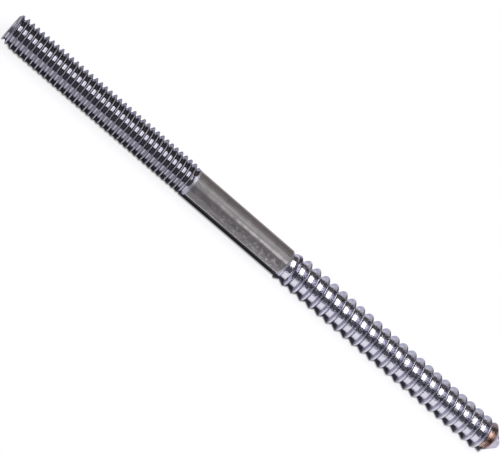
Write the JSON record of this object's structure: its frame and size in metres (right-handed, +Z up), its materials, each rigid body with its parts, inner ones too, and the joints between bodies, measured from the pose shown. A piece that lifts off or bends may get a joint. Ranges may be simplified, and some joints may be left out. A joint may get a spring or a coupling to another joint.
{
  "type": "hanger bolt",
  "caption": "Straight steel bolt with no head: a machine screw thread on one end, a coarse wood screw thread with a blunt point on the other, and a plain shank between.",
  "frame": {"origin": "on the ground under the middle of the bolt's length, as it lies on its side", "axes": "+X along the bolt from the machine end to the point, +Z up"},
  "size_m": [0.1524, 0.0084, 0.0084],
  "materials": {
    "steel": "bright rolled threads, dull drawn shank, brown stain at the point"
  },
  "bodies": {
    "root": {"hanger_bolt": "steel"}
  },
  "joints": []
}
